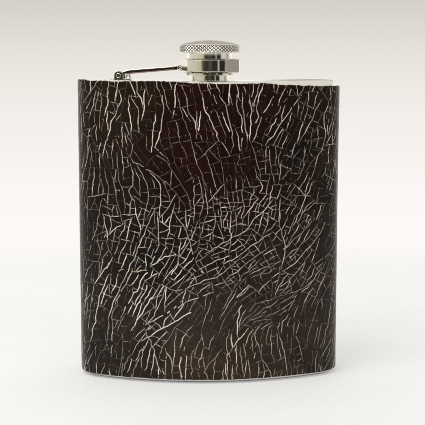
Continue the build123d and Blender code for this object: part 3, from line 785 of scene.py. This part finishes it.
def steel(name, colour, dark, rough_low, rough_high, wave=0.0, edge=0.0):
    """Polished stainless steel with faint scuffs, slightly wavy and soft-edged where asked."""
    n = Nodes(name)
    scuff = n.noise(900, 6, 0.6)
    patch = n.noise(160, 3, 0.5)
    colour_mix = n.mix(n.remap(patch, 0.35, 0.7, 0.0, 1.0), (*colour, 1), (*dark, 1))
    n.link(colour_mix, n.surface.inputs["Base Color"])
    n.surface.inputs["Metallic"].default_value = 1.0
    n.link(n.remap(scuff, 0.3, 0.8, rough_low, rough_high), n.surface.inputs["Roughness"])
    rounded = n.add("ShaderNodeBevel", samples=8, Radius=edge).outputs["Normal"] if edge else None
    normal = n.bump(scuff, 0.25, 0.00001, rounded)
    if wave:
        normal = n.bump(n.noise(210, 1, 0.4), 1.0, wave, normal)
    n.link(normal, n.surface.inputs["Normal"])
    return n.material


def shade_painted_steel(name, bright, painted_shade_colour, edge, low, high):
    """Steel with painted light and shade: bright where its rounded normal faces up, painted dark shade where
    its rounded edges turn under.

    The colour goes from the painted shade to bright as the rounded normal's height goes from low to high.
    """
    n = Nodes(name)
    scuff = n.noise(900, 6, 0.6)
    rounded = n.add("ShaderNodeBevel", samples=8, Radius=edge).outputs["Normal"]
    facing = n.add("ShaderNodeSeparateXYZ")
    n.link(rounded, facing.inputs[0])
    # Painted shade: the share of bright colour follows how far the rounded normal faces up.
    painted_light_share = n.remap(facing.outputs["Z"], low, high, 0.0, 1.0)
    patchy = n.mix(scuff, (*(0.7 * part for part in painted_shade_colour), 1), (*(1.3 * part for part in painted_shade_colour), 1))
    n.link(n.mix(painted_light_share, patchy, (*bright, 1)), n.surface.inputs["Base Color"])
    n.surface.inputs["Metallic"].default_value = 1.0
    n.link(n.remap(scuff, 0.3, 0.8, 0.12, 0.24), n.surface.inputs["Roughness"])
    n.link(n.bump(scuff, 0.25, 0.00001, rounded), n.surface.inputs["Normal"])
    return n.material


def knurled():
    """Satin turned dome in a darker colour of painted shade, mirror-bright knurl with near-black painted
    shade down its grooves, polished skirt.
    """
    n = Nodes("turned_knurled_steel")
    dome = n.add("ShaderNodeAttribute", attribute_name="dome").outputs["Fac"]
    groove_value = n.add("ShaderNodeAttribute", attribute_name="groove").outputs["Fac"]
    scuff = n.noise(1500, 5, 0.6)
    # Painted shade: near-black colour down the knurl's grooves, where shade falls in the narrow V's.
    groove_painted_shade = n.remap(groove_value, 0.50, 0.80, 0.0, 0.97)
    # The dome's darker metal colour is painted shade, standing in for a dim ceiling seen in its reflection.
    metal = n.mix(dome, (0.86, 0.84, 0.78, 1), (0.47, 0.44, 0.38, 1))
    n.link(n.mix(groove_painted_shade, metal, (0.015, 0.013, 0.010, 1)), n.surface.inputs["Base Color"])
    n.surface.inputs["Metallic"].default_value = 1.0
    rough = n.math("ADD", n.remap(scuff, 0.3, 0.8, 0.07, 0.14), n.math("MULTIPLY", dome, 0.30))
    n.link(rough, n.surface.inputs["Roughness"])
    rings = n.add("ShaderNodeTexWave", wave_type="RINGS", rings_direction="Z", Scale=1500.0)
    rings.inputs["Distortion"].default_value = 0.6
    n.link(n.place(), rings.inputs["Vector"])
    turned_marks = n.math("MULTIPLY", rings.outputs["Fac"], dome)
    n.link(n.bump(turned_marks, 0.25, 0.00001), n.surface.inputs["Normal"])
    return n.material


def leather():
    n = Nodes("crackled_leather_hide")
    near_value = n.add("ShaderNodeAttribute", attribute_name="near").outputs["Fac"]
    shade_value = n.add("ShaderNodeAttribute", attribute_name="shade").outputs["Fac"]
    crack_value = n.math("MULTIPLY", shade_value, n.remap(near_value, 0.84, 1.08, 0.0, 1.0))
    cut = n.add("ShaderNodeAttribute", attribute_name="cut_edge").outputs["Fac"]
    seam_value = n.add("ShaderNodeAttribute", attribute_name="seam").outputs["Fac"]
    # This attribute holds the leather's dye together with the painted reflection of the floor and
    # surroundings.
    dye_and_painted_sheen = n.add("ShaderNodeAttribute", attribute_name="dye_and_painted_sheen").outputs["Color"]
    grain = n.noise(3200, 4, 0.6)
    pores = n.noise(1300, 5, 0.65)
    mottle_value = n.noise(330, 4, 0.6)
    dark = n.mix(n.remap(mottle_value, 0.35, 0.75, 0.0, 0.35), dye_and_painted_sheen, (0.020, 0.012, 0.008, 1))
    speck = n.remap(grain, 0.62, 0.75, 0.0, 0.12)
    dark = n.mix(speck, dark, (0.11, 0.085, 0.065, 1))
    pale = n.mix(n.remap(pores, 0.3, 0.7, 0.0, 1.0), (0.92, 0.86, 0.76, 1), (0.70, 0.60, 0.48, 1))
    shown = n.math("MULTIPLY", crack_value, n.remap(pores, 0.25, 0.7, 1.3, 0.75))
    shown = n.math("MINIMUM", shown, 1.0)
    colour = n.mix(shown, dark, pale)
    fibre = n.mix(n.remap(grain, 0.35, 0.65, 0.0, 1.0), (0.030, 0.020, 0.014, 1), (0.16, 0.11, 0.075, 1))
    colour = n.mix(cut, colour, fibre)
    colour = n.mix(n.math("MULTIPLY", seam_value, 0.8), colour, (0.006, 0.004, 0.003, 1))
    n.link(colour, n.surface.inputs["Base Color"])
    rough = n.remap(pores, 0.3, 0.75, 0.20, 0.40)
    rough = n.math("ADD", rough, n.math("MULTIPLY", shown, 0.4))
    rough = n.math("ADD", rough, n.math("MULTIPLY", cut, 0.5))
    n.link(rough, n.surface.inputs["Roughness"])
    n.surface.inputs["Specular IOR Level"].default_value = 0.12
    normal = n.bump(pores, 0.55, 0.00010)
    normal = n.bump(grain, 0.5, 0.00005, normal)
    n.link(normal, n.surface.inputs["Normal"])
    return n.material


def plastic():
    n = Nodes("ivory_cap_plastic")
    cloud = n.noise(500, 3)
    n.link(n.mix(cloud, (0.62, 0.60, 0.55, 1), (0.70, 0.68, 0.63, 1)), n.surface.inputs["Base Color"])
    n.link(n.remap(cloud, 0.3, 0.7, 0.38, 0.5), n.surface.inputs["Roughness"])
    n.surface.inputs["Subsurface Weight"].default_value = 0.1
    n.surface.inputs["Subsurface Scale"].default_value = 0.001
    n.link(n.bump(n.noise(4000, 2), 0.15, 0.00002), n.surface.inputs["Normal"])
    return n.material


def rubber():
    n = Nodes("milky_gasket_silicone")
    cloud = n.noise(800, 3)
    n.link(n.mix(cloud, (0.50, 0.49, 0.46, 1), (0.60, 0.59, 0.56, 1)), n.surface.inputs["Base Color"])
    n.link(n.remap(cloud, 0.3, 0.7, 0.55, 0.7), n.surface.inputs["Roughness"])
    n.surface.inputs["Subsurface Weight"].default_value = 0.25
    n.surface.inputs["Subsurface Scale"].default_value = 0.001
    n.link(n.bump(n.noise(5000, 2), 0.2, 0.00002), n.surface.inputs["Normal"])
    return n.material


bright_steel = steel("polished_steel_mirror", (0.86, 0.84, 0.79), (0.82, 0.79, 0.72), 0.05, 0.12)
collar_steel = steel(
    "polished_steel_collar", (0.84, 0.82, 0.77), (0.80, 0.78, 0.71), 0.05, 0.10, wave=0.00006, edge=0.0003
)
sheet_steel = steel("pressed_sheet_steel", (0.90, 0.89, 0.86), (0.84, 0.83, 0.79), 0.06, 0.14)
# Base rim: bright steel with its turned-under bottom edge painted near-black, a painted contact shadow.
base_steel = shade_painted_steel(
    "base_rim_steel_painted_shadow", (0.98, 0.97, 0.95), (0.05, 0.045, 0.04), edge=0.0008, low=-0.85, high=-0.55
)
# Arm: light where it faces up, painted dark-brown shade where it faces level or down.
arm_steel = shade_painted_steel(
    "arm_rolled_steel_painted_shade", (0.66, 0.61, 0.54), (0.15, 0.11, 0.088), edge=0.0006, low=-0.05, high=0.30
)
knurled_steel = knurled()
hinge_steel = steel(
    "hinge_bright_steel", (0.74, 0.72, 0.67), (0.62, 0.59, 0.53), 0.08, 0.16, edge=0.0002
)

NODE_MATERIALS = {
    "body_shell": sheet_steel,
    "shoulder_plate": sheet_steel,
    "base_plate": base_steel,
    "neck": bright_steel,
    "hinge_bracket": hinge_steel,
    "hinge_pin": hinge_steel,
    "retaining_arm": arm_steel,
    "collar_ring": collar_steel,
    "collar_pin": hinge_steel,
    "cap_retaining_washer": bright_steel,
    "cap_thread_insert": plastic(),
    "cap_gasket": rubber(),
    "cap_head": knurled_steel,
    "leather_wrap": leather(),
}
for node_name, material in NODE_MATERIALS.items():
    for material_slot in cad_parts[node_name].material_slots:
        material_slot.material = material
leather_sleeve.data.materials.append(NODE_MATERIALS["leather_wrap"])
cap_knurled.data.materials.append(knurled_steel)

# ---- floor --------------------------------------------------------------------------------------

FLOOR_R = 0.36
FLOOR_GLOW = 0.31
FLOOR_SOLID_R = 0.24
FLOOR_FADE_R = 0.34
bpy.ops.mesh.primitive_circle_add(vertices=96, radius=FLOOR_R, fill_type="NGON", location=(0, 0, 0))
floor = bpy.context.object
floor.name = "floor"


def floor_material():
    """Pale matt board that fades out to the backdrop for the camera, so no edge shows."""
    n = Nodes("pale_floor")
    out = n.tree.nodes["Material Output"]
    cloud = n.noise(14, 5, 0.6)
    marks = n.noise(60, 6, 0.7)
    base = n.mix(n.remap(cloud, 0.3, 0.7, 0.0, 1.0), (0.53, 0.53, 0.53, 1), (0.56, 0.56, 0.56, 1))
    base = n.mix(n.remap(marks, 0.62, 0.75, 0.0, 0.25), base, (0.42, 0.42, 0.42, 1))
    n.link(base, n.surface.inputs["Base Color"])
    # A little glow stands for the board's overexposure and keeps the contact shadow light.
    n.surface.inputs["Emission Color"].default_value = (1.0, 1.0, 0.99, 1)
    n.surface.inputs["Emission Strength"].default_value = FLOOR_GLOW
    n.surface.inputs["Roughness"].default_value = 0.75
    n.surface.inputs["Specular IOR Level"].default_value = 0.2
    length = n.add("ShaderNodeVectorMath", operation="LENGTH")
    n.link(n.place(), length.inputs[0])
    fade = n.remap(length.outputs["Value"], FLOOR_SOLID_R, FLOOR_FADE_R, 0.0, 1.0)
    clear = n.add("ShaderNodeBsdfTransparent")
    blend = n.add("ShaderNodeMixShader")
    n.link(fade, blend.inputs["Fac"])
    n.link(n.surface.outputs[0], blend.inputs[1])
    n.link(clear.outputs[0], blend.inputs[2])
    n.link(blend.outputs[0], out.inputs["Surface"])
    return n.material


floor.data.materials.append(floor_material())

# ---- studio -------------------------------------------------------------------------------------

CAMERA_AZIMUTH = -1.86       # degrees from -Y, seen from the neck


def studio_world():
    """What the camera sees behind the flask, what polished steel reflects, and the soft light."""
    world = bpy.data.worlds.new("studio")
    bpy.context.scene.world = world
    world.use_nodes = True
    # Soft rays find the even surroundings by themselves, which leaves less grain on the floor.
    world.cycles.sampling_method = "NONE"
    tree = world.node_tree
    nodes, links = tree.nodes, tree.links
    nodes.clear()

    def ramp(stops, source):
        node = nodes.new("ShaderNodeValToRGB")
        elements = node.color_ramp.elements
        while len(elements) < len(stops):
            elements.new(0.5)
        for element, (position, colour) in zip(elements, stops):
            element.position = position
            element.color = (*colour, 1)
        links.new(source, node.inputs["Fac"])
        return node.outputs["Color"]

    def scaled(source, low, high):
        node = nodes.new("ShaderNodeMapRange")
        node.inputs["From Min"].default_value = low
        node.inputs["From Max"].default_value = high
        links.new(source, node.inputs["Value"])
        return node.outputs["Result"]

    def mixed(factor, a, b):
        node = nodes.new("ShaderNodeMix")
        node.data_type = "RGBA"
        links.new(factor, node.inputs[0])
        for source, socket in ((a, node.inputs[6]), (b, node.inputs[7])):
            if isinstance(source, tuple):
                socket.default_value = (*source, 1)
            else:
                links.new(source, socket)
        return node.outputs[2]

    direction = nodes.new("ShaderNodeTexCoord").outputs["Generated"]
    parts = nodes.new("ShaderNodeSeparateXYZ")
    links.new(direction, parts.inputs[0])
    flip = nodes.new("ShaderNodeMath")
    flip.operation = "MULTIPLY"
    flip.inputs[1].default_value = -1.0
    links.new(parts.outputs["Y"], flip.inputs[0])
    azimuth = nodes.new("ShaderNodeMath")
    azimuth.operation = "ARCTAN2"
    links.new(parts.outputs["X"], azimuth.inputs[0])
    links.new(flip.outputs[0], azimuth.inputs[1])

    # Backdrop: warm grey above, lightening to white at the floor.
    backdrop = ramp((
        (0.00, (1.000, 0.985, 0.970)),
        (0.36, (0.950, 0.920, 0.895)),
        (0.58, (0.880, 0.850, 0.810)),
        (0.72, (0.800, 0.770, 0.725)),
        (1.00, (0.555, 0.530, 0.495)),
    ), scaled(parts.outputs["Z"], -0.20, 0.08))

    def at(degrees_round):
        return (degrees_round + CAMERA_AZIMUTH + 180) / 360

    # Round the horizon, seen only by reflections: pale walls with dark gaps in front and behind.
    horizon = ramp((
        (0.0, (1.15, 1.12, 1.06)),
        (at(-140), (1.10, 1.07, 1.00)),
        (at(-112), (0.74, 0.71, 0.63)),
        (at(-60), (0.66, 0.64, 0.55)),
        (at(-33), (0.56, 0.55, 0.40)),
        (at(-25), (0.09, 0.09, 0.06)),
        (at(-12), (0.030, 0.030, 0.022)),
        (at(4), (0.085, 0.080, 0.060)),
        (at(14), (0.025, 0.024, 0.020)),
        (at(30), (0.030, 0.030, 0.026)),
        (at(34), (0.62, 0.60, 0.54)),
        (at(38), (0.030, 0.030, 0.026)),
        (at(58), (0.020, 0.020, 0.018)),
        (at(64), (0.66, 0.62, 0.57)),
        (at(96), (0.70, 0.65, 0.60)),
        (at(100), (0.34, 0.31, 0.29)),
        (at(110), (0.34, 0.31, 0.29)),
        (at(114), (0.70, 0.66, 0.60)),
        (at(140), (1.10, 1.07, 1.00)),
        (at(166), (1.12, 1.09, 1.03)),
        (at(170), (0.05, 0.05, 0.04)),
        (at(176), (0.06, 0.06, 0.05)),
        (at(177.6), (1.12, 1.09, 1.03)),
        (1.0, (1.15, 1.12, 1.06)),
    ), scaled(azimuth.outputs[0], -math.pi, math.pi))
    above = ramp((
        (0.0, (0.0, 0.0, 0.0)),
        (0.34, (0.0, 0.0, 0.0)),
        (0.48, (1.0, 1.0, 1.0)),
        (1.0, (1.0, 1.0, 1.0)),
    ), scaled(parts.outputs["Z"], -0.2, 0.8))
    below = ramp((
        (0.0, (1.0, 1.0, 1.0)),
        (0.45, (1.0, 1.0, 1.0)),
        (0.75, (0.0, 0.0, 0.0)),
        (1.0, (0.0, 0.0, 0.0)),
    ), scaled(parts.outputs["Z"], -0.9, 0.1))
    mirrored = mixed(above, horizon, (0.80, 0.77, 0.71))
    mirrored = mixed(below, mirrored, (0.70, 0.68, 0.63))

    path = nodes.new("ShaderNodeLightPath")
    soft = mixed(path.outputs["Is Glossy Ray"], (0.92, 0.90, 0.87), mirrored)
    seen = mixed(path.outputs["Is Camera Ray"], soft, backdrop)
    background = nodes.new("ShaderNodeBackground")
    links.new(seen, background.inputs["Color"])
    output = nodes.new("ShaderNodeOutputWorld")
    links.new(background.outputs[0], output.inputs["Surface"])


studio_world()


def soft_light(name, location, target, size, watts, colour):
    data = bpy.data.lights.new(name, "AREA")
    data.shape = "DISK"
    data.size = size
    data.energy = watts
    data.color = colour
    obj = bpy.data.objects.new(name, data)
    obj.location = location
    obj.rotation_euler = (Vector(target) - Vector(location)).to_track_quat("-Z", "Y").to_euler()
    bpy.context.scene.collection.objects.link(obj)
    return obj


soft_light("key_overhead", (-0.35, -0.35, 0.75), (0, 0, 0.05), 0.6, 3.0, (1.0, 0.97, 0.93))

# ---- camera -------------------------------------------------------------------------------------

CAMERA_PLACE = (-0.0138, -0.426, 0.1144)
CAMERA_HEADING = math.radians(2.0)
CAMERA_PITCH = math.radians(7.27)
CAMERA_LENS = 101.2          # mm, on a sensor 36 mm wide
camera_data = bpy.data.cameras.new("camera")
camera_data.lens = CAMERA_LENS
camera_data.sensor_width = 36.0
camera_data.clip_start = 0.01
camera = bpy.data.objects.new("camera", camera_data)
camera.location = CAMERA_PLACE
looking = Vector((
    math.sin(CAMERA_HEADING) * math.cos(CAMERA_PITCH),
    math.cos(CAMERA_HEADING) * math.cos(CAMERA_PITCH),
    -math.sin(CAMERA_PITCH),
))
camera.rotation_euler = looking.to_track_quat("-Z", "Y").to_euler()
bpy.context.scene.collection.objects.link(camera)
bpy.context.scene.camera = camera
bpy.context.scene.view_settings.view_transform = "Standard"
bpy.context.scene.cycles.use_denoising = False
bpy.context.scene.cycles.filter_width = 1.0

# ---- finish: update the view layer --------------------------------------------------------------

bpy.context.view_layer.update()
